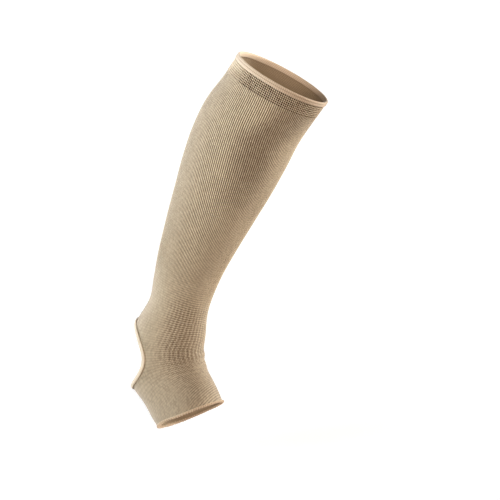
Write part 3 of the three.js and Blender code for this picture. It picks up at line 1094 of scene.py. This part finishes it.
# %% The welt in section
WELT_PROFILE = np.array(
    [
        (4.4, 0.72), (4.7, 0.9), (4.75, 1.15), (4.55, 1.38), (4.1, 1.48), (3.5, 1.5), (2.9, 1.49),
        (2.4, 1.44), (2.05, 1.26), (1.8, 1.05), (1.55, 1.26), (1.15, 1.46), (0.6, 1.5), (0.0, 1.42),
        (-0.55, 1.18), (-1.0, 0.75), (-1.25, 0.25), (-1.25, -0.25), (-1.0, -0.75), (-0.55, -1.18),
        (0.1, -1.42), (1.7, -1.5), (3.3, -1.5), (4.4, -1.42), (4.75, -1.1), (4.4, -0.72),
        (2.2, -0.72), (-0.1, -0.72), (-0.3, -0.4), (-0.3, 0.4), (-0.1, 0.72), (2.2, 0.72),
    ]
) * MM
WELT_OUTSIDE = (2, 16)  # the places in the profile that show on the outside
SEWN_LINE = 9  # the place in the profile of the line of stitches
RIB_DEPTH = 0.07 * MM
DIMPLE_DEPTH = 0.22 * MM
DIMPLE_WIDTH = 0.8  # places in the profile
print("welt:", np.round(np.ptp(WELT_PROFILE, axis=0) / MM, 2), "mm high and thick")


# %% Loft the welt round the top edge
def loft(cloth, points, strip=(0, 1), finish=0):
    """Faces over an array of sections, closed both round the section and round the edge."""
    grid = cloth.add_points(points)
    beside = np.roll(grid, -1, 1)
    corners = np.stack([grid, np.roll(grid, -1, 0), np.roll(beside, -1, 0), beside], -1)
    u = np.linspace(0, 1, grid.shape[0] + 1)
    v = np.linspace(0, 1, grid.shape[1] + 1)
    places = np.empty((*corners.shape, 2))
    places[..., 0] = np.stack([u[:-1], u[1:], u[1:], u[:-1]], -1)[:, None]
    places[..., 1] = np.stack([v[:-1], v[:-1], v[1:], v[1:]], -1)[None]
    cloth.add_faces(corners, places, strip, finish)


def top_welt():
    """The folded welt, with its ribs and the dimples of its sewn line."""
    wale = np.arange(COLUMNS)[:, None] / COLUMNS_PER_WALE
    into, out = WELT_PROFILE.T
    profile = np.arange(len(into))[None]
    outside = (profile >= WELT_OUTSIDE[0]) & (profile < WELT_OUTSIDE[1])
    dimple = np.exp(-(((profile - SEWN_LINE) / DIMPLE_WIDTH) ** 2))
    shaped = out - outside * RIB_DEPTH * (0.5 + 0.5 * np.cos(2 * math.pi * wale))
    shaped = shaped - dimple * DIMPLE_DEPTH * (0.5 + 0.5 * np.cos(math.pi * wale))
    cloth = Cloth()
    loft(cloth, on_tube(FOLD + into[None], wale, shaped - KNIT_WALL / 2))
    return cloth


welt_cloth = top_welt()
print("welt ribs:", WALES)

# %% Finish the welt
# The grooves of the welt's ribs and the dimples of its sewn line are painted darker, as shade.
WELT_RIB_SHADE = 0.3
WELT_SEWN_SHADE = 0.9
WELT_SHIN_SHADE = 0.5
SEWN_HALF = 0.75  # places in the profile

welt_rib = cloth_finish(
    "welt rib", yarn=(0.62, 0.51, 0.38), gap=(0.20, 0.14, 0.09), uneven=0.04, sheen=0.3, rough=0.75
)
tree = welt_rib.tree
ribs = place_effect(welt_rib, thread_twist, {"Turns": WALES, "Plies": 0})["Twist"]
shaded = place_effect(welt_rib, shin_shade, {})["Strain"]
welt_map = add_node(tree, "ShaderNodeUVMap", uv_map="stitches").outputs[0]
sewn_place = (SEWN_LINE + 0.5) / len(WELT_PROFILE)
sewn = math_node(tree, "COMPARE", split_place(tree, welt_map)[1], sewn_place, SEWN_HALF / len(WELT_PROFILE))
shown = math_node(tree, "MULTIPLY", sewn, WELT_SEWN_SHADE)
shown = math_node(tree, "MULTIPLY_ADD", shaded, WELT_SHIN_SHADE, shown)
shown = math_node(tree, "MULTIPLY_ADD", ribs, WELT_RIB_SHADE, shown, clamp=True)
tree.links.new(shown, welt_rib.gap)
welt = make_piece(welt_cloth, "top_welt_fold", welt_rib.material)
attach(welt, "root")
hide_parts("top_welt")

# %% [markdown]
# ## The heel binding
#
# The edge of the heel opening is bound with a soft cream tape that has rolled almost round. It is lofted
# like the welt, but its edge is an oval that crosses the wales, so the profile has to be turned at each
# place. The way into the knit is worked out there in rows and radians, and the profile follows the
# surface along it. Fine ribs across the tape, and two slow waves along it, keep it from looking moulded.

# %% The binding in section
BINDING_PROFILE = np.array(
    [
        (2.95, 0.68), (3.3, 0.74), (3.42, 1.02), (3.15, 1.5), (2.5, 1.84), (1.75, 2.02), (1.0, 2.05),
        (0.3, 1.98), (-0.3, 1.74), (-0.8, 1.36), (-1.15, 0.85), (-1.33, 0.3), (-1.33, -0.3),
        (-1.15, -0.85), (-0.8, -1.36), (-0.2, -1.74), (0.6, -1.95), (1.6, -1.98), (2.6, -1.84),
        (3.2, -1.4), (2.9, -0.95), (1.3, -0.95), (-0.1, -0.9), (-0.35, -0.4), (-0.35, 0.4),
        (-0.1, 0.85), (1.3, 0.74),
    ]
) * MM
TAPE_CROWN = 6  # the place in the profile that stands out most, and as many places on each side of it
TAPE_RIB = 1.05 * MM
TAPE_RIB_DEPTH = 0.07 * MM
PLACES_PER_RIB = 4
SHORT_WAVE = (0.05 * MM, 23)  # height, and waves in all
LONG_WAVE = (0.04 * MM, 31)  # height, and places for each radian
tape_ribs = round(edge_length / TAPE_RIB)
print("binding:", tape_ribs, "ribs, and", np.round(np.ptp(BINDING_PROFILE, axis=0) / MM, 2), "mm in section")


# %% Loft the binding round the heel opening
def dot(a, b):
    """How far two arrays of vectors run together."""
    return (a * b).sum(-1)


def into_knit(rows, angles):
    """For each place on a closed edge, the rows and radians of one metre into the knit."""
    points = worn_point(rows, angles)
    down, across = worn_slopes(rows, angles)
    along = unit(np.roll(points, -1, 0) - np.roll(points, 1, 0))
    into = np.cross(worn_normal(rows, angles), along)
    skew = dot(down, across)
    area = dot(down, down) * dot(across, across) - skew**2
    rows_in = (dot(into, down) * dot(across, across) - dot(into, across) * skew) / area
    angles_in = (dot(into, across) * dot(down, down) - dot(into, down) * skew) / area
    return rows_in, angles_in


def heel_binding():
    """The rolled tape, with its ribs and waves."""
    count = PLACES_PER_RIB * tape_ribs
    rows, angles, _ = heel_edge(count)
    rows_in, angles_in = into_knit(rows, angles)
    into, out = BINDING_PROFILE.T
    along = np.arange(count)[:, None]
    rib = 0.5 + 0.5 * np.cos(2 * math.pi / PLACES_PER_RIB * along)
    wave = SHORT_WAVE[0] * np.sin(2 * math.pi * along / count * SHORT_WAVE[1])
    wave = wave + LONG_WAVE[0] * np.sin(along / LONG_WAVE[1])
    crown = np.clip(1 - np.abs(np.arange(len(into)) - TAPE_CROWN) / TAPE_CROWN, 0, 1)[None]
    shaped = out[None] - crown * (TAPE_RIB_DEPTH * rib - wave) - KNIT_WALL / 2
    row = rows[:, None] + into[None] * rows_in[:, None]
    angle = angles[:, None] + into[None] * angles_in[:, None]
    cloth = Cloth()
    loft(cloth, worn_point(row, angle) + worn_normal(row, angle) * shaped[..., None])
    return cloth


binding_tape = cloth_finish(
    "binding tape", yarn=(0.62, 0.545, 0.425), gap=(0.34, 0.27, 0.19), uneven=0.04, sheen=0.3, rough=0.75
)
# the grooves between the tape's ribs are painted darker, as shade
TAPE_RIB_SHADE = 0.25
ribs = place_effect(binding_tape, thread_twist, {"Turns": tape_ribs, "Plies": 0})["Twist"]
binding_tape.tree.links.new(math_node(binding_tape.tree, "MULTIPLY", ribs, TAPE_RIB_SHADE), binding_tape.gap)
binding = make_piece(heel_binding(), "heel_binding_tape", binding_tape.material)
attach(binding, "root")
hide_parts("heel_binding")

# %% [markdown]
# ## The toe edging
#
# The toe end is overlocked: a thread is thrown over the raw edge in slanting loops, and a needle
# thread runs along them on the outside. Each loop is a thin tube over a soft core of cut knit. The
# loops are a little uneven, from a seeded random draw, because a machine never throws two alike.

# %% The edging in section
EDGING_CORE = np.array(
    [
        (1.5, 0.72), (1.65, 0.85), (1.5, 1.0), (1.0, 1.08), (0.45, 1.1), (0.0, 1.0), (-0.35, 0.78),
        (-0.55, 0.35), (-0.55, -0.35), (-0.35, -0.78), (0.0, -1.0), (0.45, -1.1), (1.0, -1.08), (1.5, -1.0),
        (1.5, -0.72), (0.7, -0.74), (-0.1, -0.72), (-0.3, 0.0), (-0.1, 0.72), (0.7, 0.74),
    ]
) * MM
LOOP_PATH = np.array(
    [
        (1.75, 0.75), (1.45, 1.15), (0.9, 1.33), (0.3, 1.33), (-0.25, 1.12), (-0.62, 0.7), (-0.78, 0.0),
        (-0.62, -0.7), (-0.25, -1.12), (0.3, -1.33), (1.0, -1.31), (1.65, -1.05),
    ]
) * MM
LOOPS = 84
LOOP_SIDES = 6
LOOP_THICK = 0.50 * MM
LOOP_SLANT = 0.8  # wales that a loop moves along the edge
LOOP_SHIFT = 0.12  # of the way to the next loop
LOOP_REACH = (0.6, 1.2)
LOOP_PROUD = (0.85, 1.2)
LOOP_UNEVEN = (0.85, 1.15)
print("overlock:", LOOPS, "loops")


# %% Threads as tubes
AWAY = np.array([0, 0.31, 1])  # the steady direction that the sides of a thread are laid out from


def tubes(paths, radius, sides, closed):
    """Round tubes along an array of paths, each a line of points."""
    if closed:
        along = np.roll(paths, -1, -2) - np.roll(paths, 1, -2)
    else:
        along = np.gradient(paths, axis=-2)
    along = unit(along)
    aside = unit(np.cross(along, AWAY))
    above = np.cross(along, aside)
    turn = np.arange(sides) * 2 * math.pi / sides
    offset = aside[..., None, :] * np.cos(turn)[:, None] + above[..., None, :] * np.sin(turn)[:, None]
    return paths[..., None, :] + offset * radius[..., None, None]


def add_loops(cloth, grid):
    """The sides and the two end caps of each loop."""
    loops, length, sides = grid.shape
    turned = np.roll(grid, -1, 2)
    corners = np.stack([grid[:, :-1], grid[:, 1:], turned[:, 1:], turned[:, :-1]], -1)
    step = 0.8 / loops / sides
    start = (np.arange(loops) / loops)[:, None, None]
    u = start + np.arange(sides)[None, None, :] * step
    v = np.linspace(0, 1, length)[None, :, None]
    places = np.empty((*corners.shape, 2))
    places[..., 0] = np.stack([u, u, u + step, u + step], -1)
    places[..., 1] = np.stack([v[:, :-1], v[:, 1:], v[:, 1:], v[:, :-1]], -1)
    cloth.add_faces(corners, places, (0.34, 0.86))
    for cap, way in ((grid[:, 0], -1), (grid[:, -1], 1)):
        cloth.add_faces(cap[:, ::way], np.stack([start[:, 0], np.zeros_like(start[:, 0])], -1), (0.87, 0.88))


print("each loop has", LOOP_SIDES, "sides and", len(LOOP_PATH), "bends")

# %% Overlock the toe
NEEDLE_IN = 1.75 * MM
NEEDLE_RISE = (0.95 * MM, 0.3 * MM)  # its middle, and how far it swings
NEEDLE_THICK = 0.22 * MM
NEEDLE_SIDES = 5
NEEDLE_STEPS = 4  # for each loop
edge_uneven = np.random.default_rng(5)


def toe_edging():
    """The core, the loops over it and the needle thread."""
    cloth = Cloth()
    wale = np.arange(COLUMNS // 2)[:, None] / 2
    into, out = EDGING_CORE.T
    core_out = np.broadcast_to(out - KNIT_WALL / 2, (len(wale), len(out)))
    loft(cloth, on_tube(sleeve_toe - into[None], wale, core_out), (0, 0.3), 1)

    into, out = LOOP_PATH.T
    start = np.arange(LOOPS) + edge_uneven.uniform(-LOOP_SHIFT, LOOP_SHIFT, LOOPS)
    ranges = (LOOP_REACH, LOOP_PROUD, LOOP_UNEVEN)
    reach, proud, thick = (edge_uneven.uniform(*limits, (LOOPS, 1)) for limits in ranges)
    wale = start[:, None] * WALES / LOOPS + np.linspace(-0.5, 0.5, len(into)) * LOOP_SLANT
    paths = on_tube(sleeve_toe - into * reach, wale, out * proud - KNIT_WALL / 2)
    radius = np.broadcast_to(thick * LOOP_THICK, paths.shape[:2])
    add_loops(cloth, cloth.add_points(tubes(paths, radius, LOOP_SIDES, False)))

    needle = np.arange(NEEDLE_STEPS * LOOPS)
    rise = NEEDLE_RISE[0] + NEEDLE_RISE[1] * np.sin(2 * math.pi / NEEDLE_STEPS * needle)
    line = on_tube(sleeve_toe - NEEDLE_IN, needle * WALES / len(needle), rise - KNIT_WALL / 2)
    loft(cloth, tubes(line, np.full(len(needle), NEEDLE_THICK), NEEDLE_SIDES, True), (0.9, 1))
    return cloth


edging_thread = cloth_finish(
    "edging thread", yarn=(0.615, 0.50, 0.365), gap=(0.36, 0.25, 0.16), uneven=0.06, sheen=0.3, rough=0.7
)
# the grooves between the plies are painted darker, as shade
PLY_SHADE = 0.35
plies = place_effect(edging_thread, thread_twist, {"Turns": 2 * LOOPS, "Plies": 9})["Twist"]
edging_thread.tree.links.new(math_node(edging_thread.tree, "MULTIPLY", plies, PLY_SHADE), edging_thread.gap)
edging_core = cloth_finish(
    "edging core", yarn=(0.48, 0.375, 0.255), gap=(0.18, 0.12, 0.07), uneven=0.08, sheen=0.2, rough=0.85
)
edging_core.gap.default_value = 0.2
edging = make_piece(toe_edging(), "toe_edging_overlock", edging_thread.material, edging_core.material)
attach(edging, "root")
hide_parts("toe_edging")

# %% [markdown]
# ## The stretch of the worn cloth
#
# Taken off, the tube is narrower: a compression stocking is worn at about a quarter more than its own
# girth.

print("sheets:", 4)

# %% [markdown]
# ## Floor and light
#
# A catalogue picture stands on white paper. Here the paper is one wide plane, so no edge of it shows. To
# stay white in the picture without throwing much light back onto the cloth, it glows for the camera and
# is darker for the light that bounces off it. The surround is made the same way.

# %% Lay the floor
FLOOR_LEVEL = -0.122
FLOOR_HALF = 12
PAPER_BOUNCE = (0.30, 0.25, 0.20)
PAPER_SEEN = (0.6, 0.6, 0.6)
PAPER_GLOW = (0.62, 0.62, 0.62)
BLACK = (0, 0, 0)
WHITE = (1, 1, 1)


def for_camera(tree, usual, seen):
    """One colour for the light in the scene, and another where the camera looks straight at it."""
    ray = add_node(tree, "ShaderNodeLightPath").outputs["Is Camera Ray"]
    mix = add_node(tree, "ShaderNodeMix", [(0, ray), (6, (*usual, 1)), (7, (*seen, 1))], data_type="RGBA")
    return mix.outputs[2]


floor_mesh = bpy.data.meshes.new("floor")
corners = [(x * FLOOR_HALF, y * FLOOR_HALF, FLOOR_LEVEL) for x, y in ((-1, -1), (1, -1), (1, 1), (-1, 1))]
floor_mesh.from_pydata(corners, [], [(0, 1, 2, 3)])
floor = bpy.data.objects.new("floor", floor_mesh)
scene_objects.link(floor)
paper = bpy.data.materials.new("white paper")
paper.use_nodes = True
tree = paper.node_tree
shader = tree.nodes["Principled BSDF"].inputs
tree.links.new(for_camera(tree, PAPER_BOUNCE, PAPER_SEEN), shader["Base Color"])
tree.links.new(for_camera(tree, BLACK, PAPER_GLOW), shader["Emission Color"])
shader["Emission Strength"].default_value = 1
shader["Roughness"].default_value = 0.95
shader["Specular IOR Level"].default_value = 0
floor_mesh.materials.append(paper)
print("floor at", FLOOR_LEVEL, "m")

# %% [markdown]
# Four lamps light the stocking: a warm one near the camera for the front, a cool one on the left for the
# calf, and two further back that draw the pale rims along the shin and the calf. Suns with a wide disc
# give the same soft shadow as big lamps, and light the whole floor evenly.

# %% Hang the lamps
SURROUND = (0.02, 0.0164, 0.0128)
LAMPS = {
    # from the right, towards the camera, up, strength, width of the disc in degrees, colour
    "front": (0.17, 0.98, 0.14, 4.05, 45, (1.0, 0.84, 0.74)),
    "left": (-0.97, 0.26, 0.14, 4.3, 45, (0.86, 1.0, 1.08)),
    "left_rim": (-0.82, -0.57, 0.14, 3.3, 25, (1.0, 0.90, 0.93)),
    "rim": (0.94, -0.34, 0.04, 9.2, 25, (1.0, 0.96, 0.89)),
}
flat_back = Vector((back.x, back.y, 0)).normalized()
for name, (aside, ahead, above, strength, disc, colour) in LAMPS.items():
    lamp = bpy.data.objects.new(name, bpy.data.lights.new(name, "SUN"))
    lamp.data.energy = strength
    lamp.data.color = colour
    lamp.data.angle = math.radians(disc)
    toward = right * aside + flat_back * ahead + Vector((0, 0, above))
    lamp.rotation_mode = "QUATERNION"
    lamp.rotation_quaternion = toward.to_track_quat("Z", "Y")
    scene_objects.link(lamp)
world = bpy.data.worlds.new("studio")
world.use_nodes = True
surround = world.node_tree.nodes["Background"].inputs
world.node_tree.links.new(for_camera(world.node_tree, SURROUND, WHITE), surround["Color"])
surround["Strength"].default_value = 1
bpy.context.scene.world = world
bpy.context.scene.view_settings.view_transform = "Standard"
print("lamps:", ", ".join(LAMPS))
